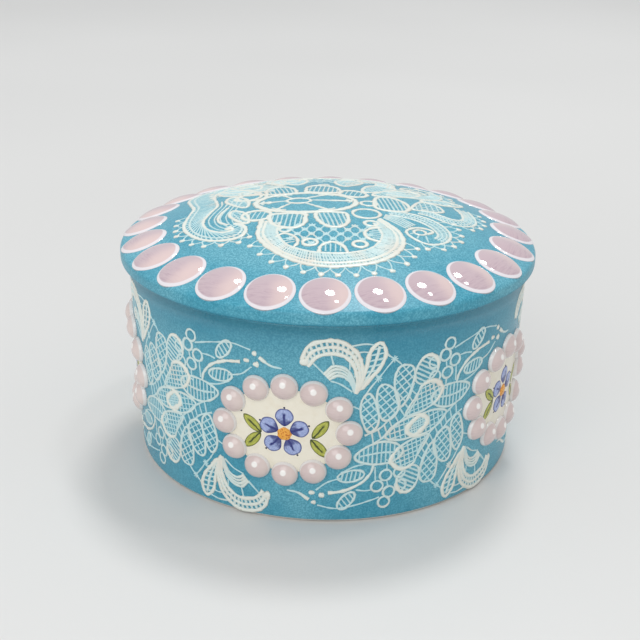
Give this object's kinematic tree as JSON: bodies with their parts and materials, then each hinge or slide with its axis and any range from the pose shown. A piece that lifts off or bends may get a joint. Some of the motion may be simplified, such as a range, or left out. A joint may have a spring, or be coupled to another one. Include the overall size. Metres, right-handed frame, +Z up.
{
  "type": "trinket box",
  "caption": "Round porcelain trinket box: slightly tapered cup on a foot ring with a loose domed lid, set with raised enamel cabochons, oval pearl rings and flowers.",
  "frame": {"origin": "centre of the foot ring, on the surface the box stands on", "axes": "+Z up along the axis of the round box, one medallion faces -Y"},
  "size_m": [0.1, 0.1, 0.0618],
  "materials": {
    "body_glaze": "glossy mottled blue glaze, white inside, bare foot ring",
    "lid_glaze": "glossy mottled blue glaze, white inside",
    "cabochon": "glossy raised lilac-pink enamel",
    "pearl": "glossy raised grey-pink enamel",
    "flower": "painted enamel"
  },
  "bodies": {
    "box": {"box_body": "body_glaze", "pearls_1": "pearl", "pearls_2": "pearl", "pearls_3": "pearl", "pearls_4": "pearl", "pearls_5": "pearl", "flower_1": "flower", "flower_2": "flower", "flower_3": "flower", "flower_4": "flower", "flower_5": "flower"},
    "lid": {"lid": "lid_glaze", "cabochon_01": "cabochon", "cabochon_02": "cabochon", "cabochon_03": "cabochon", "cabochon_04": "cabochon", "cabochon_05": "cabochon", "cabochon_06": "cabochon", "cabochon_07": "cabochon", "cabochon_08": "cabochon", "cabochon_09": "cabochon", "cabochon_10": "cabochon", "cabochon_11": "cabochon", "cabochon_12": "cabochon", "cabochon_13": "cabochon", "cabochon_14": "cabochon", "cabochon_15": "cabochon", "cabochon_16": "cabochon", "cabochon_17": "cabochon", "cabochon_18": "cabochon", "cabochon_19": "cabochon", "cabochon_20": "cabochon", "cabochon_21": "cabochon", "cabochon_22": "cabochon", "cabochon_23": "cabochon", "cabochon_24": "cabochon"}
  },
  "joints": [
    {"name": "lid_lift", "type": "slide", "parent": "box", "child": "lid", "axis": [0, 0, 1], "range_m": [0, 0.04]}
  ]
}
